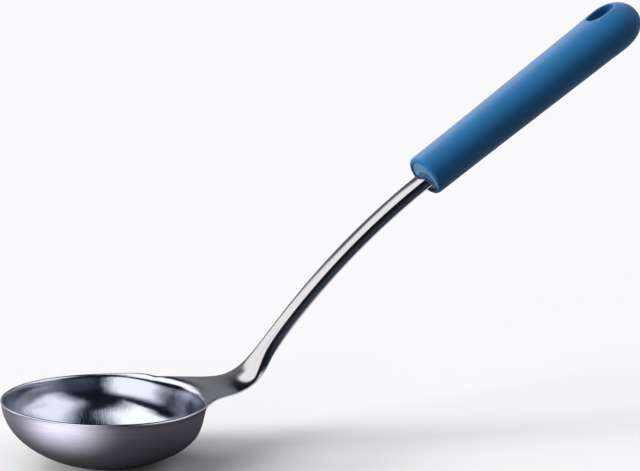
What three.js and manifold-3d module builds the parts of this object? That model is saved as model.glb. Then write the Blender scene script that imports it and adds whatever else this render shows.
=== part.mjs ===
// Soup ladle: one pressed steel piece (bowl, neck, stem and tang), a moulded core that
// locks round the tang, and a soft grip sleeve moulded over the core.
// Millimetres, +Z up. The origin is the centre of the flat foot under the bowl, the rim is
// level, and the grip lies toward +X. The ladle is symmetric about the plane y = 0.
import * as THREE from 'three';
import { mergeVertices } from 'three/addons/utils/BufferGeometryUtils.js';
import Module from 'manifold-3d';

// Steel sheet and bowl
const SHEET = 1.2;
const BOWL_RADIUS = 42.5;
const BOWL_DEPTH = 26.7;
const FOOT_RADIUS = 10;
const LIP_RADIUS = 2.4;

// Neck between bowl and stem
const NECK_RISE = 0.5;
const NECK_LEVEL = 4.8;
const NECK_WIDTH = 39.2;
const NECK_TAPER = 25;
const NECK_BLEND = 1.3;
const BEND_RADIUS = 24;
const RISE_ANGLE = 52;

// Stem, a channel with its open side down
const SWEEP_RADIUS = 327;
const STEM_WIDTH_LOW = 9.2;
const STEM_WIDTH_TOP = 11.4;
const STEM_HEIGHT = 4.4;
const FLANGE_RUN = 32;
const STEM_LEAD = 1.9;
const SHOULDER_LOW = 4.2;
const SHOULDER_TOP = 3.4;

// Grip, laid up round the tang: core first, then sleeve
const GRIP_ANGLE = 32.65;
const GRIP_LENGTH = 128.2;
const GRIP_LIFT = 0.85;
const CORE_SIDE = 2.1;
const CORE_UNDER = 3.65;
const CORE_RECESS = 0.5;
const SLEEVE_WALL = 1.8;
const GRIP_SPREAD = 6;
const GRIP_SWELL = 3.2;
const GRIP_EDGE = 1.2;
const GRIP_DOME = 14;

// Hanging slot in the far end of the grip
const HANG_LENGTH = 15;
const HANG_WIDTH = 8.2;
const HANG_FROM_TIP = 15.4;
const HANG_WEB = 3.2;

// How the layers lock
const TANG_COVER = 11;
const LOCK_HOLE = 5;
const LOCK_FROM_END = 16;
const KEY_RIB = 0.8;
const KEY_LENGTH = 6;
const KEY_FROM_END = 30;
const FIT = 0.3;

// Numbers of facets
const BOWL_SIDES = 60;
const BOWL_STEPS = 10;
const GRIP_SIDES = 36;
const ARCH_STEPS = 12;

const wasm = await Module();
wasm.setup();

const rad = THREE.MathUtils.degToRad;
const mix = THREE.MathUtils.lerp;

// Closed geometry to solid and back, for cuts and joins
function solid(geometry) {
  const bare = geometry.clone();
  bare.deleteAttribute('normal');
  bare.deleteAttribute('uv');
  const merged = mergeVertices(bare, 1e-4);
  const vertProperties = new Float32Array(merged.attributes.position.array);
  const triVerts = new Uint32Array(merged.index.array);
  return new wasm.Manifold(new wasm.Mesh({ numProp: 3, vertProperties, triVerts }));
}

function geometryOf(body) {
  const mesh = body.getMesh();
  const geometry = new THREE.BufferGeometry();
  geometry.setAttribute('position', new THREE.BufferAttribute(mesh.vertProperties, 3));
  geometry.setIndex(new THREE.BufferAttribute(mesh.triVerts, 1));
  geometry.computeVertexNormals();
  return geometry;
}

// A skin over closed rings of equally many points, with each end closed
function skin(rings, closeEnd) {
  const count = rings[0].length;
  const points = rings.flat();
  const faces = [];
  for (let row = 0; row < rings.length - 1; row += 1) {
    for (let i = 0; i < count; i += 1) {
      const a = row * count + i;
      const b = row * count + ((i + 1) % count);
      faces.push(a, b, b + count, a, b + count, a + count);
    }
  }
  const last = (rings.length - 1) * count;
  for (const [a, b, c] of closeEnd(count)) {
    faces.push(c, b, a, last + a, last + b, last + c);
  }
  const geometry = new THREE.BufferGeometry();
  geometry.setFromPoints(points);
  geometry.setIndex(faces);
  return geometry;
}

// End faces: a fan for a convex ring, a strip for a folded sheet
function fan(count) {
  return Array.from({ length: count - 2 }, (_, i) => [0, i + 1, i + 2]);
}

function strip(count) {
  const pairs = Array.from({ length: count / 2 - 1 }, (_, i) => [i, count - 1 - i]);
  return pairs.flatMap(([a, b]) => [[a, a + 1, b], [a + 1, b - 1, b]]);
}

// Turned shapes stand on the Z axis
function turned(profile, sides) {
  return new THREE.LatheGeometry(profile, sides).rotateX(Math.PI / 2);
}

function upright(shape, low, high) {
  const depth = high - low;
  const options = { depth, bevelEnabled: false };
  return new THREE.ExtrudeGeometry(shape, options).translate(0, 0, low);
}

// Bowl wall: an ellipse that stands upright at the rim and is cut off by the flat foot
const wallHeight = BOWL_DEPTH / Math.sqrt(1 - (FOOT_RADIUS / BOWL_RADIUS) ** 2);
const footAngle = Math.asin(FOOT_RADIUS / BOWL_RADIUS);

function wallPoint(angle, inset) {
  const across = Math.sin(angle) / BOWL_RADIUS;
  const along = Math.cos(angle) / wallHeight;
  const size = Math.hypot(across, along);
  const r = BOWL_RADIUS * Math.sin(angle) - (inset * across) / size;
  const z = BOWL_DEPTH - wallHeight * Math.cos(angle) + (inset * along) / size;
  return new THREE.Vector2(r, z);
}

function wallRadius(z) {
  return BOWL_RADIUS * Math.sqrt(1 - ((BOWL_DEPTH - z) / wallHeight) ** 2);
}

const wallAngles = Array.from({ length: BOWL_STEPS + 1 }, (_, i) => (
  mix(footAngle, Math.PI / 2, i / BOWL_STEPS)
));
const outside = wallAngles.map((angle) => wallPoint(angle, 0));
const inside = wallAngles.map((angle) => wallPoint(angle, SHEET)).reverse();
inside[inside.length - 1].y = SHEET;
const bowlProfile = [
  new THREE.Vector2(0, 0),
  ...outside,
  ...inside,
  new THREE.Vector2(0, SHEET),
];
const bowl = solid(turned(bowlProfile, BOWL_SIDES));

// Path of the upper face of the sheet, by its length from the bowl axis
const bendStart = BOWL_RADIUS + NECK_LEVEL;
const neckTop = BOWL_DEPTH + NECK_RISE;
const bendLength = BEND_RADIUS * rad(RISE_ANGLE);
const sweepLength = SWEEP_RADIUS * rad(RISE_ANGLE - GRIP_ANGLE);
const sweepStart = bendStart + bendLength;
const leadStart = sweepStart + sweepLength;
const gripStart = leadStart + STEM_LEAD;

function pathAt(length) {
  const level = Math.min(length, bendStart);
  const bend = THREE.MathUtils.clamp(length - bendStart, 0, bendLength) / BEND_RADIUS;
  const sweep = THREE.MathUtils.clamp(length - sweepStart, 0, sweepLength) / SWEEP_RADIUS;
  const rest = Math.max(length - leadStart, 0);
  const top = rad(RISE_ANGLE);
  const angle = bend - sweep;
  const sweepX = SWEEP_RADIUS * (Math.sin(top) - Math.sin(top - sweep));
  const sweepZ = SWEEP_RADIUS * (Math.cos(top - sweep) - Math.cos(top));
  const x = level + BEND_RADIUS * Math.sin(bend) + sweepX + rest * Math.cos(angle);
  const z = neckTop + BEND_RADIUS * (1 - Math.cos(bend)) + sweepZ + rest * Math.sin(angle);
  return { x, z, angle };
}

// Half width of the sheet: the neck tapers into the stem with a soft corner
function halfWidth(length) {
  const share = THREE.MathUtils.clamp((length - sweepStart) / (gripStart - sweepStart), 0, 1);
  const stem = mix(STEM_WIDTH_LOW, STEM_WIDTH_TOP, share) / 2;
  const neck = NECK_WIDTH / 2 - (length - BOWL_RADIUS) * Math.tan(rad(NECK_TAPER));
  const over = neck - stem;
  return stem + (over + Math.hypot(over, 2 * NECK_BLEND)) / 2;
}

// Arch of the channel across the sheet: flat on the neck, with full flanges on the stem
function archAt(length, grow) {
  const at = Math.min(length, gripStart);
  const flange = THREE.MathUtils.smoothstep(at, bendStart, bendStart + FLANGE_RUN);
  const share = THREE.MathUtils.clamp((at - sweepStart) / (gripStart - sweepStart), 0, 1);
  const power = 2 / mix(SHOULDER_LOW, SHOULDER_TOP, share);
  const half = halfWidth(at);
  const drop = STEM_HEIGHT * flange;
  const fold = SHEET * flange;
  const turns = Array.from({ length: ARCH_STEPS + 1 }, (_, i) => (Math.PI * i) / ARCH_STEPS);
  const arch = (side, fall, high, turn) => {
    const across = Math.sign(Math.cos(turn)) * Math.abs(Math.cos(turn)) ** power;
    const rise = Math.abs(Math.sin(turn)) ** power;
    return new THREE.Vector2(side * across, high - fall * (1 - rise));
  };
  const upper = turns.map((turn) => arch(half + grow, drop + 2 * grow, grow, turn));
  const lower = turns.map((turn) => arch(half - fold - grow, drop - fold, -SHEET - grow, turn));
  const under = grow * flange;
  lower[0].y -= under;
  lower[ARCH_STEPS].y -= under;
  return [...upper, ...lower.reverse()];
}

function stationAt(length) {
  const { x, z, angle } = pathAt(length);
  return archAt(length, 0).map((point) => new THREE.Vector3(
    x - point.y * Math.sin(angle),
    point.x,
    z + point.y * Math.cos(angle),
  ));
}

// Lip: beside the neck the bowl wall rolls over into the level neck
const lipTop = LIP_RADIUS + SHEET;
const lipBase = neckTop - lipTop;
const lipWall = wallRadius(lipBase);
const lipRoot = wallRadius(lipBase - SHEET);
const lipCentre = lipWall + LIP_RADIUS;
const plateReach = Math.hypot(bendStart, halfWidth(bendStart)) + SHEET;
const lipUnder = new THREE.EllipseCurve(
  lipCentre, lipBase, LIP_RADIUS, LIP_RADIUS, Math.PI, Math.PI / 2, true,
);
const lipOver = new THREE.EllipseCurve(
  lipCentre, lipBase, lipTop, lipTop, Math.PI / 2, Math.PI, false,
);
const lipProfile = [
  new THREE.Vector2(lipRoot - 0.35 * SHEET, lipBase - SHEET),
  ...lipUnder.getPoints(5),
  new THREE.Vector2(plateReach, neckTop - SHEET),
  new THREE.Vector2(plateReach, neckTop),
  ...lipOver.getPoints(5),
  new THREE.Vector2(lipRoot - 0.65 * SHEET, lipBase - SHEET),
  new THREE.Vector2(lipRoot - 0.35 * SHEET, lipBase - SHEET),
];
const lip = solid(turned(lipProfile, BOWL_SIDES));

// Outline of the neck in plan, from inside the bowl to the start of the bend
const neckStart = BOWL_RADIUS / 2;
const neckStations = [neckStart, BOWL_RADIUS - LIP_RADIUS, bendStart];
const neckOutline = new THREE.Shape([
  ...neckStations.map((x) => new THREE.Vector2(x, -halfWidth(x))),
  ...neckStations.reverse().map((x) => new THREE.Vector2(x, halfWidth(x))),
]);
const neckCut = solid(upright(neckOutline, lipBase, neckTop + SHEET));
const neckKeep = solid(upright(neckOutline, lipBase - 2 * SHEET, neckTop + SHEET));

// Grip layers, by the distance from the lower end of the grip
const slotFromLow = GRIP_LENGTH - HANG_FROM_TIP;
const coreEnd = slotFromLow - HANG_LENGTH / 2 - HANG_WEB;
const tangEnd = coreEnd - TANG_COVER;
const gripEnd = gripStart + tangEnd;
const coreHalfWidth = STEM_WIDTH_TOP / 2 + FIT + CORE_SIDE;
const coreHalfDepth = STEM_HEIGHT / 2 + GRIP_LIFT + FIT + CORE_UNDER;

function layerRing(along, grow, squeeze) {
  const share = along / GRIP_LENGTH;
  const half = (coreHalfWidth + grow + (GRIP_SPREAD / 2) * share) * squeeze;
  const deep = (coreHalfDepth + grow + (GRIP_SWELL / 2) * share) * squeeze;
  return Array.from({ length: GRIP_SIDES }, (_, i) => {
    const turn = (2 * Math.PI * i) / GRIP_SIDES;
    return new THREE.Vector3(deep * Math.cos(turn), half * Math.sin(turn), along);
  });
}

// Stem, neck bend and tang as one folded sheet
const overlap = SHEET / 2;
const bendStations = Array.from({ length: 9 }, (_, i) => bendStart + (bendLength * i) / 9);
const sweepStations = Array.from({ length: 15 }, (_, i) => sweepStart + (sweepLength * i) / 15);
const lengths = [
  bendStart - overlap,
  ...bendStations,
  ...sweepStations,
  leadStart,
  gripStart,
  gripEnd,
];
const stem = solid(skin(lengths.map(stationAt), strip));

// Frame of the grip: its own Z axis runs along it, its own X axis points to the underside
const seat = pathAt(gripStart);
const lower = STEM_HEIGHT / 2 - GRIP_LIFT;
const gripFrame = new THREE.Group();
gripFrame.position.set(
  seat.x + lower * Math.sin(seat.angle),
  0,
  seat.z - lower * Math.cos(seat.angle),
);
gripFrame.rotation.y = Math.PI / 2 - seat.angle;
gripFrame.updateMatrix();

// Round pins and holes that run through the grip from top to underside
function crossPin(radius, from, to, along) {
  const pin = new THREE.CylinderGeometry(radius, radius, to - from, 20);
  return pin.rotateZ(Math.PI / 2).translate((from + to) / 2, 0, along);
}

const lockAlong = tangEnd - LOCK_FROM_END;
const tangTop = -lower;
const lockHole = crossPin(LOCK_HOLE / 2, tangTop - SHEET, tangTop + 2 * SHEET, lockAlong);
const steelBody = bowl
  .subtract(neckCut)
  .add(lip.intersect(neckKeep))
  .add(stem)
  .subtract(solid(lockHole.applyMatrix4(gripFrame.matrix)));

// Core: fills the sleeve, with a slot for the tang and a pin moulded through its hole
const keyLow = coreEnd - KEY_FROM_END;
const keyHigh = keyLow + KEY_LENGTH;
const coreStations = [
  [CORE_RECESS, 0],
  [keyLow, 0],
  [keyLow + KEY_RIB, KEY_RIB],
  [keyHigh - KEY_RIB, KEY_RIB],
  [keyHigh, 0],
  [coreEnd, 0],
];
const coreRings = coreStations.map(([along, grow]) => layerRing(along, grow, 1));
const tangOutline = archAt(gripStart, FIT).map((point) => (
  new THREE.Vector2(-lower - point.y, point.x)
));
const tangSlot = upright(new THREE.Shape(tangOutline), -SHEET, tangEnd + FIT);
const lockPin = crossPin(
  LOCK_HOLE / 2 - FIT,
  tangTop - 2 * FIT - SHEET,
  tangTop + SHEET + 2 * FIT + SHEET,
  lockAlong,
);
const coreBody = solid(skin(coreRings, fan))
  .subtract(solid(tangSlot))
  .add(solid(lockPin));

// Sleeve: rounded lower edge, domed far end, blind cavity for the core, hanging slot
const cavityStations = [
  [-SHEET, FIT],
  [keyLow - FIT, FIT],
  [keyLow + KEY_RIB - FIT, KEY_RIB + FIT],
  [keyHigh - KEY_RIB + FIT, KEY_RIB + FIT],
  [keyHigh + FIT, FIT],
  [coreEnd + FIT, FIT],
];
const cavityRings = cavityStations.map(([along, grow]) => layerRing(along, grow, 1));
const skinOver = FIT + SLEEVE_WALL;
const edgeRings = [0, 0.25, 0.5, 0.75, 1].map((share) => {
  const turn = (share * Math.PI) / 2;
  const along = GRIP_EDGE * (1 - Math.sin(turn));
  return layerRing(along, skinOver - GRIP_EDGE * (1 - Math.cos(turn)), 1);
}).reverse();
const domeRings = Array.from({ length: 9 }, (_, i) => {
  const turn = (Math.PI / 2) * (i / 8.4);
  const along = GRIP_LENGTH - GRIP_DOME * (1 - Math.sin(turn));
  return layerRing(along, skinOver, Math.cos(turn) ** 0.85);
});
const slotRound = HANG_WIDTH / 2;
const slotStraight = HANG_LENGTH / 2 - slotRound;
const slotFar = new THREE.EllipseCurve(
  slotFromLow + slotStraight, 0, slotRound, slotRound, -Math.PI / 2, Math.PI / 2,
);
const slotNear = new THREE.EllipseCurve(
  slotFromLow - slotStraight, 0, slotRound, slotRound, Math.PI / 2, (3 * Math.PI) / 2,
);
const slotOutline = new THREE.Shape([...slotFar.getPoints(9), ...slotNear.getPoints(9)]);
const slotReach = coreHalfDepth + skinOver + GRIP_SWELL;
const hangSlot = upright(slotOutline, -slotReach, slotReach).rotateY(-Math.PI / 2);
const sleeveBody = solid(skin([...edgeRings, ...domeRings], fan))
  .subtract(solid(skin(cavityRings, fan)))
  .subtract(solid(hangSlot));

// Finishes
const steel = new THREE.MeshStandardMaterial({ color: 0xbfbdb9, roughness: 0.22, metalness: 1 });
const hard = new THREE.MeshStandardMaterial({ color: 0x4a8ec5, roughness: 0.45, metalness: 0 });
const soft = new THREE.MeshStandardMaterial({ color: 0x2b5c8a, roughness: 0.65, metalness: 0 });

function piece(name, body, material) {
  const mesh = new THREE.Mesh(geometryOf(body), material);
  mesh.name = name;
  return mesh;
}

const ladle = new THREE.Group();
ladle.add(piece('steel_pressing', steelBody, steel));
gripFrame.add(piece('handle_core', coreBody, hard));
gripFrame.add(piece('grip_sleeve', sleeveBody, soft));
ladle.add(gripFrame);

export default ladle;
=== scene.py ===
from math import acos, asin, atan2, cos, degrees, exp, hypot, pi, radians, sin, sqrt, tan

import bmesh
import bpy
from mathutils import Matrix, Vector


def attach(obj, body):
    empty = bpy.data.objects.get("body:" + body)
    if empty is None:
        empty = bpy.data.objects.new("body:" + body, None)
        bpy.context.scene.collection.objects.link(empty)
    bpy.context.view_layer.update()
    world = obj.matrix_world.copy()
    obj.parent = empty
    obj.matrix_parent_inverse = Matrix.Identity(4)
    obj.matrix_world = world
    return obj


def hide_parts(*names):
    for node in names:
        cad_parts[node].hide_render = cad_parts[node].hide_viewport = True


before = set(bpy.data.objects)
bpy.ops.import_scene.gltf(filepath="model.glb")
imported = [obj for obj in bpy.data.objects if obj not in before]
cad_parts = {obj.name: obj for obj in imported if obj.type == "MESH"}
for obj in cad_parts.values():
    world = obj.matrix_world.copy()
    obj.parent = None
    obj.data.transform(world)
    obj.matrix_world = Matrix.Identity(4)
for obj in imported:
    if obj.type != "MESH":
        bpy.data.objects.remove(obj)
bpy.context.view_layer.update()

# Soup ladle: satin steel bowl, polished neck and stem, blue two-layer grip.
# Sizes are in millimetres here and become metres when a point is placed.
MM = 0.001

# Bowl
SHEET = 1.2
BOWL_RADIUS = 42.5
BOWL_DEPTH = 26.7
FOOT_RADIUS = 10

# Neck and stem
NECK_TOP = 27.2
NECK_WIDTH = 39.2
NECK_TAPER = radians(25)
NECK_BLEND = 1.3
BEND_START = 47.3
BEND_RADIUS = 24
RISE_ANGLE = radians(52)
SWEEP_RADIUS = 327
STEM_WIDTH_LOW = 9.2
STEM_WIDTH_TOP = 11.4
STEM_HEIGHT = 4.4
STEM_TURN = radians(68)
STEM_SQUARE = 0.55
STEM_LEAD = 1.9
FLANGE_START = 46
FLANGE_RUN = 26

# Grip
GRIP_ANGLE = radians(32.65)
GRIP_LENGTH = 128.2
GRIP_DROP = 1.35
GRIP_HALF_WIDTH = 10.2
GRIP_HALF_DEPTH = 9.1
GRIP_SPREAD = 3.0
GRIP_SWELL = 1.6
GRIP_DOME = 14
DOME_POWER = 0.425
UNDER_DEPTH = 1.05
SLEEVE_WALL = 1.8
FIT = 0.3
SEAM = 0.12
CORE_START = -0.2
CORE_END = 102.1
TANG_END = 91.1
SLOT_CENTRE = 112.8
SLOT_HALF = 7.5
SLOT_ROUND = 4.1

# Lengths along the sheet where one stretch ends and the next begins
BEND_LENGTH = BEND_RADIUS * RISE_ANGLE
SWEEP_START = BEND_START + BEND_LENGTH
SWEEP_LENGTH = SWEEP_RADIUS * (RISE_ANGLE - GRIP_ANGLE)
LEAD_START = SWEEP_START + SWEEP_LENGTH
GRIP_START = LEAD_START + STEM_LEAD


def clamp(value, low=0.0, high=1.0):
    return max(low, min(high, value))


def mix(a, b, share):
    return a + (b - a) * share


def ease(value, low, high):
    share = clamp((value - low) / (high - low))
    return share * share * (3 - 2 * share)


# Shapes that several pieces share


def path_at(length):
    """Place and slope of the sheet's upper face, by its length from the bowl's axis."""
    bend = clamp(length - BEND_START, 0, BEND_LENGTH) / BEND_RADIUS
    sweep = clamp(length - SWEEP_START, 0, SWEEP_LENGTH) / SWEEP_RADIUS
    rest = max(length - LEAD_START, 0)
    angle = bend - sweep
    x = min(length, BEND_START) + BEND_RADIUS * sin(bend) + rest * cos(angle)
    x += SWEEP_RADIUS * (sin(RISE_ANGLE) - sin(RISE_ANGLE - sweep))
    z = NECK_TOP + BEND_RADIUS * (1 - cos(bend)) + rest * sin(angle)
    z += SWEEP_RADIUS * (cos(RISE_ANGLE - sweep) - cos(RISE_ANGLE))
    return x, z, angle


def half_width(length):
    """Half the sheet's width: the neck's taper runs smoothly into the stem."""
    share = clamp((length - SWEEP_START) / (GRIP_START - SWEEP_START))
    stem = mix(STEM_WIDTH_LOW, STEM_WIDTH_TOP, share) / 2
    over = NECK_WIDTH / 2 - (length - BOWL_RADIUS) * tan(NECK_TAPER) - stem
    return stem + (over + hypot(over, 2 * NECK_BLEND)) / 2


GRIP_X, GRIP_Z, _ = path_at(GRIP_START)
GRIP_ALONG = Vector((cos(GRIP_ANGLE), 0, sin(GRIP_ANGLE)))
GRIP_UP = Vector((-sin(GRIP_ANGLE), 0, cos(GRIP_ANGLE)))
GRIP_FOOT = Vector((GRIP_X, 0, GRIP_Z)) - GRIP_UP * GRIP_DROP


def on_grip(along, across, up):
    """A point of the grip, by its distances along, across and above the grip's axis."""
    return (GRIP_FOOT + GRIP_ALONG * along + Vector((0, across, 0)) + GRIP_UP * up) * MM


def grip_place(point):
    """Distances of a point along, across and above the grip's axis, in millimetres."""
    away = point / MM - GRIP_FOOT
    return away.dot(GRIP_ALONG), away.y, away.dot(GRIP_UP)


def grip_size(along):
    """Half width and half depth of the sleeve's outside, drawn in over the rounded end."""
    share = along / GRIP_LENGTH
    squeeze = 1.0
    dome = GRIP_LENGTH - GRIP_DOME
    if along > dome:
        squeeze = max(1 - ((along - dome) / GRIP_DOME) ** 2, 0) ** DOME_POWER
    half = (GRIP_HALF_WIDTH + GRIP_SPREAD * share) * squeeze
    deep = (GRIP_HALF_DEPTH + GRIP_SWELL * share) * squeeze
    return half, deep


def stem_section(share):
    """Shape of the stem's flanged section: how far out and how far down, as shares."""
    turn = abs(share) * STEM_TURN
    out = (sin(turn) / sin(STEM_TURN)) ** STEM_SQUARE
    down = (1 - cos(turn) ** STEM_SQUARE) / (1 - cos(STEM_TURN) ** STEM_SQUARE)
    return (out if share >= 0 else -out), down


# Small modelling steps on a bmesh


def neighbours(line, closed):
    """Each vertex of a line with the next one, and round to the first if it is closed."""
    following = line[1:] + line[:1] if closed else line[1:]
    return list(zip(line, following))


def edges_of(bm, line, closed=True):
    return [bm.edges.get(pair) for pair in neighbours(line, closed)]


def start_line(bm, places, closed=False):
    line = [bm.verts.new(place) for place in places]
    for pair in neighbours(line, closed):
        bm.edges.new(pair)
    return line


def extend(bm, line, places, closed=False):
    """Extrude a line of vertices and move the new ones to their places."""
    made = bmesh.ops.extrude_edge_only(bm, edges=edges_of(bm, line, closed))["geom"]
    fresh = {item for item in made if isinstance(item, bmesh.types.BMVert)}
    new_line = []
    for old, place in zip(line, places):
        new = next(e.other_vert(old) for e in old.link_edges if e.other_vert(old) in fresh)
        new.co = place
        new_line.append(new)
    return new_line


def close_end(bm, line, place):
    """Close a ring with a fan to one point."""
    face = bm.faces.new(line)
    made = bmesh.ops.poke(bm, faces=[face])
    made["verts"][0].co = place


def add_object(name, data):
    added = bpy.data.objects.new(name, data)
    bpy.context.scene.collection.objects.link(added)
    return added


def finish_piece(bm, name, materials, node, smooth=True):
    """Turn a bmesh into a piece with the given materials, put in place of a CAD node, which it hides.
    """
    bmesh.ops.recalc_face_normals(bm, faces=bm.faces)
    mesh = bpy.data.meshes.new(name)
    bm.to_mesh(mesh)
    bm.free()
    for polygon in mesh.polygons:
        polygon.use_smooth = smooth
    for material in materials:
        mesh.materials.append(material)
    piece = add_object(name, mesh)
    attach(piece, "root")
    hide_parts(node)
    return piece


def smooth_surface(piece, levels):
    modifier = piece.modifiers.new("smooth surface", "SUBSURF")
    modifier.levels = levels
    modifier.render_levels = levels


# Finishes

# Places of the colour mix node's sockets, which share their names with other kinds of mix
MIX_SHARE = 0
MIX_FIRST = 6
MIX_SECOND = 7
MIX_RESULT = 2


class Value:
    """One socket of a material or world, so that sums on it read as sums."""

    def __init__(self, finish, socket):
        self.finish = finish
        self.socket = socket

    def math(self, operation, *others):
        return self.finish.math(operation, self, *others)

    def __add__(self, other):
        return self.math("ADD", other)

    __radd__ = __add__

    def __mul__(self, other):
        return self.math("MULTIPLY", other)

    __rmul__ = __mul__

    def __sub__(self, other):
        return self.math("SUBTRACT", other)

    def __rsub__(self, other):
        return self.finish.math("SUBTRACT", other, self)

    def __truediv__(self, other):
        return self.math("DIVIDE", other)

    def __rtruediv__(self, other):
        return self.finish.math("DIVIDE", other, self)


class Finish:
    """A material or world under construction."""

    def __init__(self, owner):
        owner.use_nodes = True
        self.tree = owner.node_tree
        self.tree.nodes.clear()

    def node(self, kind, settings=None, inputs=None, output=0):
        """Add a node: its settings first, then the values or links of its sockets."""
        made = self.tree.nodes.new(kind)
        for key, value in (settings or {}).items():
            setattr(made, key, value)
        for key, value in (inputs or {}).items():
            socket = made.inputs[key]
            if isinstance(value, Value):
                self.tree.links.new(value.socket, socket)
            else:
                socket.default_value = value
        return Value(self, made.outputs[output]) if made.outputs else None

    def math(self, operation, *values):
        return self.node("ShaderNodeMath", {"operation": operation}, dict(enumerate(values)))

    def place(self):
        return self.node("ShaderNodeTexCoord", output="Object")

    def parts(self, vector):
        """The three parts of a vector."""
        first = self.node("ShaderNodeSeparateXYZ", None, {0: vector})
        return [Value(self, socket) for socket in first.socket.node.outputs]

    def vector(self, *parts):
        return self.node("ShaderNodeCombineXYZ", None, dict(enumerate(parts)))

    def fade(self, value, none, full):
        """0 where the value is none, 1 where it is full, and a soft change between."""
        limits = {"Value": value, "From Min": none, "From Max": full}
        return self.node("ShaderNodeMapRange", {"interpolation_type": "SMOOTHSTEP"}, limits)

    def noise(self, vector, detail, scale=1.0):
        inputs = {"Vector": vector, "Scale": scale, "Detail": detail}
        return self.node("ShaderNodeTexNoise", None, inputs)

    def blend(self, share, first, second):
        inputs = {MIX_SHARE: share, MIX_FIRST: first, MIX_SECOND: second}
        return self.node("ShaderNodeMix", {"data_type": "RGBA"}, inputs, output=MIX_RESULT)

    def bump(self, height, strength, distance):
        inputs = {"Height": height, "Strength": strength, "Distance": distance}
        return self.node("ShaderNodeBump", None, inputs)

    def surface(self, inputs):
        shader = self.node("ShaderNodeBsdfPrincipled", None, inputs)
        self.node("ShaderNodeOutputMaterial", None, {"Surface": shader})


def new_finish(name):
    material = bpy.data.materials.new(name)
    return material, Finish(material)


# Tones from dark to light
SATIN_TONES = ((0.615, 0.645, 0.735, 1), (0.685, 0.715, 0.8, 1))
POLISHED_TONE = (0.53, 0.52, 0.525, 1)
# The underside's tones are partly its duller finish and partly painted shade: darker than the inside's
# steel, for the dark it would mirror
SHADED_UNDER_TONES = ((0.255, 0.233, 0.283, 1), (0.365, 0.337, 0.403, 1))
SOFT_BLUES = ((0.01, 0.112, 0.27, 1), (0.012, 0.122, 0.29, 1))
HARD_BLUES = ((0.028, 0.165, 0.345, 1), (0.034, 0.18, 0.37, 1))
SHEEN_TINT = (0.9, 0.95, 1.0, 1)

# Distances from the bowl's axis, in metres, between which satin gives way to polish
SATIN_END = 0.048
POLISH_START = 0.058

# How fine the grain is: waves per metre, or per radian where it runs round the bowl
STROKES_ROUND = 600
STROKES_OUT = 100
POLISH_ACROSS = 900
POLISH_ALONG = 18
RINGS_UP = 1600
RINGS_ROUND = 2
BLAST_GRAIN = 3000
TONE_GRAIN = 60
MOULD_GRAIN = 2600

# Depth of the grain in the bump nodes, in metres
STROKE_DEPTH = 0.0002
GRAIN_DEPTH = 0.0001


def steel_upper():
    """Satin inside of the bowl, stroked out from its middle; polished lip, neck and stem."""
    material, finish = new_finish("steel_upper")
    x, y, z = finish.parts(finish.place())
    out = (x * x + y * y).math("SQRT")
    turn = y.math("ARCTAN2", x)
    strokes = finish.vector(turn * STROKES_ROUND, out * STROKES_OUT, z * STROKES_OUT)
    grain = finish.noise(strokes, 3.0)
    drawn = finish.vector(x * POLISH_ALONG, y * POLISH_ACROSS, z * POLISH_ALONG)
    polish = finish.noise(drawn, 2.0)
    bowl = finish.fade(out, POLISH_START, SATIN_END)
    satin_rough = 0.07 + grain * 0.07
    polish_rough = 0.11 + polish * 0.06
    height = bowl * grain + (1 - bowl) * polish * 0.2
    finish.surface({
        "Base Color": finish.blend(bowl, POLISHED_TONE, finish.blend(grain, *SATIN_TONES)),
        "Metallic": 1.0,
        "Roughness": bowl * satin_rough + (1 - bowl) * polish_rough,
        "Normal": finish.bump(height, 0.13, STROKE_DEPTH),
    })
    return material


def steel_under():
    """Duller, finely blasted outside of the bowl and underside of the stem. Its tone is darker than the
    inside's: partly the duller finish, partly painted shade for the dark surroundings this steel would
    mirror.
    """
    material, finish = new_finish("steel_under")
    place = finish.place()
    x, y, z = finish.parts(place)
    turn = y.math("ARCTAN2", x)
    grain = finish.noise(finish.vector(turn * RINGS_ROUND, z * RINGS_UP), 2.0)
    blast = finish.noise(place, 1.0, BLAST_GRAIN)
    # Base colour: grain over tones that hold painted shade
    finish.surface({
        "Base Color": finish.blend(grain, *SHADED_UNDER_TONES),
        "Specular IOR Level": 0.0,
        "Roughness": 0.5 + blast * 0.1,
        "Normal": finish.bump(blast, 0.08, GRAIN_DEPTH),
    })
    return material


def grip_blue(name, tones, rough, relief):
    """Moulded plastic: fine moulded grain and a little unevenness of tone."""
    material, finish = new_finish(name)
    place = finish.place()
    tone = finish.noise(place, 3.0, TONE_GRAIN)
    grain = finish.noise(place, 2.0, MOULD_GRAIN)
    finish.surface({
        "Base Color": finish.blend(tone, *tones),
        "Roughness": rough + grain * 0.1,
        "Specular IOR Level": 0.2,
        "Sheen Weight": 0.3,
        "Sheen Roughness": 0.4,
        "Sheen Tint": SHEEN_TINT,
        "Normal": finish.bump(grain, relief, GRAIN_DEPTH),
    })
    return material


# Steel: bowl, lip, neck, stem and tang as one sheet

WALL_HEIGHT = BOWL_DEPTH / sqrt(1 - (FOOT_RADIUS / BOWL_RADIUS) ** 2)
FOOT_TURN = asin(FOOT_RADIUS / BOWL_RADIUS)
DRAW = 0.3
TURNS = 96
NECK_COLUMNS = 10
COLUMNS = range(-NECK_COLUMNS, NECK_COLUMNS + 1)

# Rings of the bowl: radii on the foot, turns up the wall, and depths below the rim
FOOT_RINGS = (0, 4.5, 8.4)
WALL_TURNS = (FOOT_TURN + 0.04, 0.42, 0.62, 0.82, 1.0, 1.12)
RIM_DEPTHS = (9.0, 6.0, 4.0, 2.2, 0.9, 0.0)

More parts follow.
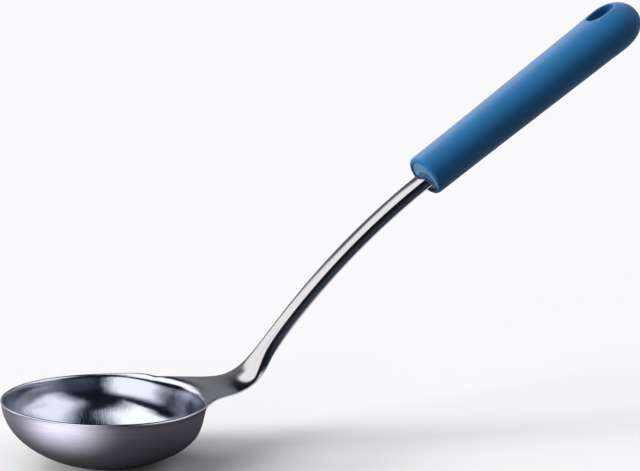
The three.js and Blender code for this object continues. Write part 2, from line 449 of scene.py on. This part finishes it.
# Shifts beside the neck by ring, counted back from the rim: the wall is fuller low down
# and steeper above, and the lip rolls over outwards and upwards
RIM = -1
BELLY = {
    -12: 1.6, -11: 3.2, -10: 3.4, -9: 2.6, -8: 1.4, -7: 0.0,
    -6: -1.1, -5: -1.4, -4: -1.4, -3: -1.2, -2: -1.0,
}
LIP = {-5: (-0.5, 0.0), -4: (-0.65, 0.0), -3: (-0.75, 0.0), -2: (-0.3, 0.1), RIM: (1.0, 0.25)}

# Where these change round the rim, in degrees from the middle of the neck
NECK_EDGE = NECK_COLUMNS * 360 / TURNS
BELLY_FADE = (20, 80)
LIP_FADE = (24, 41)
STEP_RISE = (NECK_EDGE, 41.5)
STEP_FALL = (44, 75)
FLARE_RISE = (45, 80)

# The lip's share past the neck falls off to a small rest round the bowl
LIP_REST = 0.08
LIP_BESIDE = 0.52
LIP_RUN = 35

# The rim steps up beside the neck and flares a little round the front, and the bowl leans
# and is longer at the front by small shares
RIM_STEP = 0.8
RIM_FLARE = 0.45
RIM_LEAN = 0.006
RIM_RISE = 0.012
FRONT_LENGTH = 1.006

# Rows of the sheet past the rim: lengths from the bowl's axis, with the neck's bowed back
NECK_ROWS = ((44.6, 6.0), (46.2, 4.6), (48.2, 3.4), (50.8, 2.2), (54.0, 1.0), (57.5, 0.2))
STEM_ROWS = (61, 64.5, 68, 72, 76, 80, 85, 92, 100, 110, 120, 130, 140, 150, 160, 170, 176)
TANG_ROWS = (0, 3, 30, TANG_END)

# The share that the sheet's edges are thinner by, and how sharp the wall's edges stay
EDGE_THINNING = 0.55
EDGE_CREASE = 0.5


def wall_point(turn, inset):
    """Radius and height of the bowl's wall at a turn up from its middle, inset from its outside."""
    across = sin(turn) / BOWL_RADIUS
    along = cos(turn) / WALL_HEIGHT
    size = hypot(across, along)
    r = BOWL_RADIUS * sin(turn) - inset * across / size
    z = BOWL_DEPTH - WALL_HEIGHT * cos(turn) + inset * along / size
    return r, z


def bowl_rings():
    """Radius and height of each ring of the bowl's upper face, from its middle to the rim."""
    turns = list(WALL_TURNS) + [acos(depth / WALL_HEIGHT) for depth in RIM_DEPTHS]
    foot = [(radius, SHEET) for radius in FOOT_RINGS]
    return foot + [wall_point(turn, SHEET - DRAW) for turn in turns]


def lip_share(swing):
    """How far the lip is rolled over, by the degrees from the middle of the neck."""
    past = min(LIP_FADE[1] - swing, 0)
    beside = LIP_REST + LIP_BESIDE * exp(past / LIP_RUN)
    return mix(1, beside, ease(swing, *LIP_FADE))


def spin_bowl(bm):
    """The bowl's upper face, shaped beside the neck; returns the vertices of the rim."""
    rings = bowl_rings()
    start_line(bm, [Vector((r, 0, z)) * MM for r, z in rings])
    bmesh.ops.spin(
        bm, geom=list(bm.verts) + list(bm.edges), cent=(0, 0, 0), axis=(0, 0, 1),
        angle=2 * pi, steps=TURNS, use_merge=True,
    )
    bmesh.ops.remove_doubles(bm, verts=bm.verts, dist=1e-6)

    ring_at = {round(z, 3): place - len(rings) for place, (_, z) in enumerate(rings)}
    rim = []
    for vertex in bm.verts:
        height = vertex.co.z / MM
        ring = ring_at.get(round(height, 3))
        turn = atan2(vertex.co.y, vertex.co.x)
        swing = degrees(abs(turn))
        out = Vector((cos(turn), sin(turn), 0))
        lean = RIM_LEAN * vertex.co.y + RIM_RISE * min(vertex.co.x, 0)
        vertex.co.z -= lean * height / BOWL_DEPTH
        if vertex.co.x < 0:
            vertex.co.x *= FRONT_LENGTH
        if ring in BELLY:
            vertex.co += out * BELLY[ring] * MM * (1 - ease(swing, *BELLY_FADE))
        if ring == RIM:
            rim.append(vertex)
            step = ease(swing, *STEP_RISE) * (1 - ease(swing, *STEP_FALL))
            vertex.co.z += RIM_STEP * step * MM
            vertex.co += out * RIM_FLARE * ease(swing, *FLARE_RISE) * MM
        if ring in LIP:
            shift_out, shift_up = LIP[ring]
            vertex.co += (out * shift_out + Vector((0, 0, shift_up))) * MM * lip_share(swing)
    return rim


def sheet_point(length, column):
    """A point of the upper face of neck, stem or tang: columns count from the middle outwards."""
    x, z, angle = path_at(length)
    width_at = min(length, GRIP_START)
    flange = ease(width_at, FLANGE_START, FLANGE_START + FLANGE_RUN)
    share = column / NECK_COLUMNS
    out, down = stem_section(share)
    y = half_width(width_at) * mix(share, out, flange)
    fall = down * STEM_HEIGHT * flange
    return Vector((x + fall * sin(angle), y, z - fall * cos(angle))) * MM


def draw_out_stem(bm, rim, thinning):
    """Neck, stem and tang: the rim's edges beside the neck, drawn out row by row."""
    column_turn = 2 * pi / TURNS
    spot = {round(atan2(v.co.y, v.co.x) / column_turn): v for v in rim}
    line = [spot[column] for column in COLUMNS]
    lengths = list(STEM_ROWS) + [GRIP_START + past for past in TANG_ROWS]
    for length, bow in list(NECK_ROWS) + [(length, 0.0) for length in lengths]:
        places = [sheet_point(length - bow * (c / NECK_COLUMNS) ** 2, c) for c in COLUMNS]
        line = extend(bm, line, places)
        for vertex in (line[0], line[-1]):
            vertex[thinning][0] = EDGE_THINNING


def thicken(piece):
    """Give the sheet its wall on the under side, thinner along its rounded edges."""
    foot = [face for face in piece.data.polygons if face.center.xy.length < FOOT_RADIUS * MM]
    faces_up = sum(face.normal.z for face in foot) > 0
    wall = piece.modifiers.new("sheet", "SOLIDIFY")
    wall.thickness = SHEET * MM
    wall.offset = -1 if faces_up else 1
    wall.use_even_offset = True
    wall.use_quality_normals = True
    wall.vertex_group = piece.vertex_groups.new(name="rounded_edge").name
    wall.invert_vertex_group = True
    wall.material_offset = 1
    wall.edge_crease_inner = EDGE_CREASE
    wall.edge_crease_outer = EDGE_CREASE


def build_steel(upper, under):
    bm = bmesh.new()
    thinning = bm.verts.layers.deform.verify()
    rim = spin_bowl(bm)
    draw_out_stem(bm, rim, thinning)
    piece = finish_piece(bm, "ladle_steel", [upper, under], "steel_pressing")
    thicken(piece)
    smooth_surface(piece, 1)
    return piece


# Grip: soft sleeve with its hanging slot, and the hard core inside

SLEEVE_SIDES = 24
CORE_SIDES = 72
CHANNEL_STEPS = 24

# Rings of the sleeve by their distance along the grip, or from the slot's centre
SLEEVE_INSIDE = (CORE_END, 60, 20, 2.0, 0.0)
SLEEVE_OUTSIDE = (25, 45, 65, 85, 97)
SLOT_RINGS = (-10.6, -SLOT_HALF, -4.2, 0, 4.2, SLOT_HALF, 10.4)
DOME_RINGS = (125.8, 127.4)

# The sleeve's rounded lower end: distances along the grip, with how far out from the sleeve's
# inner wall, and then how far in from its outside
END_INNER = ((-0.64, 0.1), (-0.7, 0.45))
END_OUTER = ((-0.7, 1.1), (-0.64, 0.75), (-0.3, 0.15), (0.4, -0.15), (2.2, -0.2), (10, -0.1))

# Rings of the core's side: the edge of its end face is rounded
CORE_EDGE = 0.25
CORE_RINGS = ((CORE_START + 0.08, 0.08), (CORE_START + CORE_EDGE, 0.0), (40, 0.0), (CORE_END - 1, 0.0))

# The slot's mouth: the faces that it opens, and its rounded lip
MOUTH_REACH = 4
MOUTH_INSET = 1.0
MOUTH_GROW = 1.2
MOUTH_DEEP = 1.2
SLOT_GROW = 0.1
SLOT_SINK = 0.25
STRAIGHT_SHARE = 0.75


def ring_turns(sides):
    return [2 * pi * side / sides for side in range(sides)]


def sleeve_ring(along, inset):
    """One ring of the sleeve, a little deeper below the grip's axis than above it."""
    half, deep = grip_size(along)
    places = []
    for turn in ring_turns(SLEEVE_SIDES):
        fuller = UNDER_DEPTH if cos(turn) < 0 else 1.0
        places.append(on_grip(along, (half - inset) * sin(turn), (deep - inset) * cos(turn) * fuller))
    return places


def core_ring(along, inset):
    """One ring of the core, a clearance inside the sleeve's wall."""
    half, deep = grip_size(along)
    inset += SLEEVE_WALL + FIT
    turns = ring_turns(CORE_SIDES)
    return [on_grip(along, (half - inset) * sin(t), (deep - inset) * cos(t)) for t in turns]


def slot_outline(grow):
    """Places round the slot, as distances along the grip and across it from its centre."""
    straight = SLOT_HALF - SLOT_ROUND
    size = SLOT_ROUND + grow
    slant = size * sin(pi / 4)
    side = straight * STRAIGHT_SHARE
    half = [(straight + size, 0), (straight + slant, slant), (side, size), (0, size)]
    half += [(-side, size), (-straight - slant, slant)]
    return half + [(-along, -across) for along, across in half]


def slot_angle(vertex):
    """Where a vertex stands round the slot's centre."""
    along, across, _ = grip_place(vertex.co)
    return atan2(across, along - SLOT_CENTRE)


def surface_up(along, across, side):
    """Height of the sleeve's upper (1) or under (-1) face above the grip's axis."""
    half, deep = grip_size(along)
    deep *= UNDER_DEPTH if side < 0 else 1.0
    return side * deep * sqrt(max(1 - (across / half) ** 2, 0))


def in_mouth(face, side):
    along, across, up = grip_place(face.calc_center_median())
    near = abs(along - SLOT_CENTRE) < SLOT_HALF and abs(across) < MOUTH_REACH
    return near and up * side > MOUTH_REACH


def open_slot(bm, side):
    """Cut the slot's mouth in the upper (1) or under (-1) face; return the edges just inside it."""
    patch = [face for face in bm.faces if in_mouth(face, side)]
    bmesh.ops.inset_region(bm, faces=patch, thickness=MOUTH_INSET * MM, use_even_offset=True)
    patch_edges = {edge for face in patch for edge in face.edges}
    patch_verts = {vertex for edge in patch_edges for vertex in edge.verts}
    ring_edges = [e for e in patch_edges if sum(face in patch for face in e.link_faces) == 1]
    inner = {vertex for edge in ring_edges for vertex in edge.verts}
    around = {edge.other_vert(vertex) for vertex in inner for edge in vertex.link_edges} - patch_verts
    for ring, grow, sink in ((around, MOUTH_GROW, 0.0), (inner, SLOT_GROW, SLOT_SINK)):
        outline = sorted(slot_outline(grow), key=lambda place: atan2(place[1], place[0]))
        for vertex, (forward, across) in zip(sorted(ring, key=slot_angle), outline):
            along = SLOT_CENTRE + forward
            vertex.co = on_grip(along, across, surface_up(along, across, side) - side * sink)
    bmesh.ops.delete(bm, geom=patch, context="FACES")
    line = sorted(inner, key=slot_angle)
    places = [vertex.co - GRIP_UP * side * MOUTH_DEEP * MM for vertex in line]
    return edges_of(bm, extend(bm, line, places, closed=True))


def build_sleeve(material):
    bm = bmesh.new()
    inner = SLEEVE_WALL + FIT - SEAM
    stations = [(along, inner) for along in SLEEVE_INSIDE]
    stations += [(along, inner - out) for along, out in END_INNER]
    stations += END_OUTER
    outside = list(SLEEVE_OUTSIDE) + [SLOT_CENTRE + forward for forward in SLOT_RINGS]
    stations += [(along, 0.0) for along in outside + list(DOME_RINGS)]
    line = start_line(bm, sleeve_ring(*stations[0]), closed=True)
    close_end(bm, line, on_grip(CORE_END, 0, 0))
    for station in stations[1:]:
        line = extend(bm, line, sleeve_ring(*station), closed=True)
    close_end(bm, line, on_grip(GRIP_LENGTH, 0, 0))
    bmesh.ops.bridge_loops(bm, edges=open_slot(bm, 1) + open_slot(bm, -1))
    piece = finish_piece(bm, "grip_sleeve_soft", [material], "grip_sleeve")
    smooth_surface(piece, 2)
    return piece


def channel_outline(grow):
    """Outline of the tang's section in the grip, grown by a clearance."""
    half = STEM_WIDTH_TOP / 2
    shares = [2 * i / CHANNEL_STEPS - 1 for i in range(CHANNEL_STEPS + 1)]
    over = []
    under = []
    for out, down in map(stem_section, shares):
        over.append((out * (half + grow), GRIP_DROP + grow - down * (STEM_HEIGHT + 2 * grow)))
        low = down * (STEM_HEIGHT - SHEET)
        under.append((out * (half - SHEET - grow), GRIP_DROP - SHEET - grow - low))
    return over + under[::-1]


def build_core(material):
    """The hard core: an end face with the tang's channel sunk in it, and a round side."""
    bm = bmesh.new()
    edge = start_line(bm, core_ring(CORE_START, CORE_EDGE), closed=True)
    line = edge
    for station in CORE_RINGS:
        line = extend(bm, line, core_ring(*station), closed=True)
    bm.faces.new(line)
    channel = channel_outline(SEAM)
    mouth = start_line(bm, [on_grip(CORE_START, *place) for place in channel], closed=True)
    bmesh.ops.triangle_fill(bm, edges=edges_of(bm, edge) + edges_of(bm, mouth), use_beauty=True)
    bottom = [on_grip(TANG_END + FIT, *place) for place in channel]
    bm.faces.new(extend(bm, mouth, bottom, closed=True))
    return finish_piece(bm, "grip_core_hard", [material], "handle_core", smooth=False)


# Stage

FLOOR_HALF = 15
FLOOR_DROP = -0.0004
FLOOR_SEEN = (0.84, 0.84, 0.84, 1)
FLOOR_BOUNCE = (0.06, 0.06, 0.06, 1)


def pale_floor():
    """Pale where it is seen or mirrored, and dark where it would throw light on the ladle."""
    material, finish = new_finish("pale_floor")
    camera, glossy, transmission = [
        finish.node("ShaderNodeLightPath", output=kind)
        for kind in ("Is Camera Ray", "Is Glossy Ray", "Is Transmission Ray")
    ]
    seen = (camera + glossy + transmission).math("MINIMUM", 1.0)
    tone = finish.blend(seen, FLOOR_BOUNCE, FLOOR_SEEN)
    finish.surface({"Base Color": tone, "Roughness": 1.0, "Specular IOR Level": 0.0})
    return material


def build_stage():
    bm = bmesh.new()
    bmesh.ops.create_grid(bm, x_segments=1, y_segments=1, size=FLOOR_HALF)
    bmesh.ops.translate(bm, verts=bm.verts, vec=(0, 0, FLOOR_DROP))
    mesh = bpy.data.meshes.new("floor")
    bm.to_mesh(mesh)
    bm.free()
    mesh.materials.append(pale_floor())
    floor = add_object("floor", mesh)


# Light: places in the studio are degrees round from the grip's side and up from the floor

STUDIO_DARK = 0.02
COOL_TINT = (0.52, 0.63, 1.0, 1)
WHITE_TINT = (0.985, 0.97, 0.99, 1)
LEVEL_WHITE = 0.8
RIGHT_STRIP_WHITE = 2.8
BACK_STRIP_WHITE = 4.5
LEAST_DEPTH = 0.05

# A narrow beam on the near left of the bowl's outside, in metres and degrees
BEAM_AWAY = 0.25
BEAM_TURN = 220
BEAM_HEIGHT = 0.0255
BEAM_ANGLE = 4.8
BEAM_STRETCH = 2.0
BEAM_SOURCE = 0.0075
BEAM_STRENGTH = 3.2
BEAM_COLOUR = (0.92, 0.97, 1.0)


def toward(turn, rise):
    """Direction from the ladle to a place in the studio."""
    turn = radians(turn)
    rise = radians(rise)
    return Vector((cos(turn) * cos(rise), sin(turn) * cos(rise), sin(rise)))


def brightest(first, *others):
    """The largest of several levels."""
    for other in others:
        first = first.math("MAXIMUM", other)
    return first


def build_world():
    """A dark studio with soft boxes for the steel to mirror."""
    world = bpy.data.worlds.new("studio")
    bpy.context.scene.world = world
    finish = Finish(world)
    view = finish.node("ShaderNodeTexCoord", output="Generated")

    def facing(axis):
        settings = {"operation": "DOT_PRODUCT"}
        return finish.node("ShaderNodeVectorMath", settings, {0: view, 1: axis}, output="Value")

    def within(value, middle, half, edge):
        away = (value - middle).math("ABSOLUTE")
        return finish.fade(away, half + edge, half)

    def soft_box(turn, rise, wide, high, edge, strength, shift=(0.0, 0.0), roll=0):
        """A lit panel that faces the ladle.

        Its half sizes and roll are in degrees. The soft edge and the shift sideways and up
        are shares of its distance.
        """
        ahead = toward(turn, rise)
        level_side = toward(turn + 90, 0)
        side = level_side * cos(radians(roll)) + ahead.cross(level_side) * sin(radians(roll))
        depth = facing(ahead)
        front = depth.math("GREATER_THAN", LEAST_DEPTH)
        depth = depth.math("MAXIMUM", LEAST_DEPTH)
        across = within(facing(side) / depth, shift[0], tan(radians(wide)), edge)
        upward = within(facing(ahead.cross(side)) / depth, shift[1], tan(radians(high)), edge)
        return across * upward * front * strength

    boxes = {
        "overhead_large": soft_box(-90, 90, 24.2, 37, 0.1, 1.52, shift=(-0.45, 0.73)),
        "overhead_small": soft_box(-67, 90, 28.8, 14.6, 0.1, 1.52, shift=(-0.65, 0.14)),
        "left": soft_box(199, 6, 39, 13, 0.1, 1.35, roll=24),
        "high_right": soft_box(-20, 42, 24, 17, 0.2, 1.22),
        "front": soft_box(-75, 8, 20, 12, 0.3, 0.09),
        "low_back": soft_box(140, -2, 25, 5, 0.08, 0.5),
        "high_back": soft_box(117, 24, 13, 11, 0.06, 1.5),
        "right_strip": soft_box(-10, 8, 45, 12, 0.2, 0.28),
        "back_strip": soft_box(80, 10, 45, 14, 0.25, 0.22),
    }
    level = brightest(*boxes.values(), STUDIO_DARK)

    # Bright places are white and dark ones cool, but the two dim strips are white as well
    strips = brightest(boxes["right_strip"] * RIGHT_STRIP_WHITE, boxes["back_strip"] * BACK_STRIP_WHITE)
    whiteness = brightest(level * LEVEL_WHITE, strips).math("MINIMUM", 1.0)
    tint = finish.blend(whiteness, COOL_TINT, WHITE_TINT)
    shade = finish.node("ShaderNodeBackground", None, {"Color": tint, "Strength": level})
    finish.node("ShaderNodeOutputWorld", None, {"Surface": shade})


def hang_lamp(data, ahead):
    """Put a lamp in the studio that shines from ahead and that the steel doesn't mirror."""
    hung = add_object(data.name, data)
    hung.rotation_euler = ahead.to_track_quat("Z", "Y").to_euler()
    hung.visible_glossy = False
    return hung


def soft_lamp(name, turn, rise, spread, strength):
    """A distant lamp: its strength is the level of a white surface that faces it."""
    data = bpy.data.lights.new(name, "SUN")
    data.angle = radians(spread)
    data.energy = strength * pi
    return hang_lamp(data, toward(turn, rise))


def bowl_beam():
    """A narrow soft beam, level with the rim and wider than it is high."""
    data = bpy.data.lights.new("bowl_beam", "SPOT")
    data.spot_size = radians(BEAM_ANGLE)
    data.spot_blend = 1.0
    data.color = BEAM_COLOUR
    data.shadow_soft_size = BEAM_SOURCE
    data.energy = 4 * pi ** 2 * BEAM_AWAY ** 2 * BEAM_STRENGTH
    ahead = toward(BEAM_TURN, 0)
    beam = hang_lamp(data, ahead)
    beam.location = ahead * (BOWL_RADIUS * MM + BEAM_AWAY) + Vector((0, 0, BEAM_HEIGHT))
    beam.scale = (BEAM_STRETCH, 1, 1)
    beam.visible_camera = False


def lamp_group(name, pieces):
    group = bpy.data.collections.new(name)
    for piece in pieces:
        group.objects.link(piece)
    return group


def build_lamps(steel, grip):
    """Lamps for what the soft boxes leave dark: the grip, and the near left of the bowl."""
    soft_lamp("high_side_lamp", 172, 30, 50, 0.42)
    soft_lamp("back_lamp", 100, 35, 30, 0.2)
    bowl_beam()

    # The side lamp is there for the grip, so the steel is flagged off from it
    side_lamp = soft_lamp("side_lamp", 166, 14, 16, 0.8)
    flagged = lamp_group("flagged_from_side_lamp", [steel])
    flagged.collection_objects[0].light_linking.link_state = "EXCLUDE"
    side_lamp.light_linking.receiver_collection = flagged

    # The edge lamp gives the grip's upper edge its gloss, and lights nothing else
    edge_lamp = soft_lamp("edge_lamp", 90, 35, 30, 0.6)
    edge_lamp.light_linking.receiver_collection = lamp_group("lit_by_edge_lamp", grip)
    edge_lamp.visible_glossy = True
    edge_lamp.visible_diffuse = False


# Camera: where the photograph was taken from, in metres, and the axes of its frame

PHOTO_WIDTH = 640
FOCAL_PIXELS = 2201.03
SENSOR_WIDTH = 36
CAMERA_PLACE = Vector((-0.35494, -0.79995, 0.25516))
CAMERA_RIGHT = Vector((0.87197, -0.48902, 0.02288))
CAMERA_UP = Vector((0.06817, 0.16759, 0.98350))


def build_camera():
    data = bpy.data.cameras.new("photo_view")
    data.sensor_fit = "HORIZONTAL"
    data.sensor_width = SENSOR_WIDTH
    data.lens = SENSOR_WIDTH * FOCAL_PIXELS / PHOTO_WIDTH
    data.clip_start = 0.01
    data.clip_end = 100
    camera = add_object("photo_view", data)
    back = CAMERA_RIGHT.cross(CAMERA_UP)
    turn = Matrix((CAMERA_RIGHT, CAMERA_UP, back)).transposed().to_4x4()
    camera.matrix_world = Matrix.Translation(CAMERA_PLACE) @ turn
    bpy.context.scene.camera = camera


build_camera()
build_stage()
steel = build_steel(steel_upper(), steel_under())
sleeve = build_sleeve(grip_blue("soft_grip", SOFT_BLUES, rough=0.55, relief=0.15))
core = build_core(grip_blue("hard_core", HARD_BLUES, rough=0.35, relief=0.05))
build_world()
build_lamps(steel, [sleeve, core])
bpy.context.scene.view_settings.view_transform = "Standard"
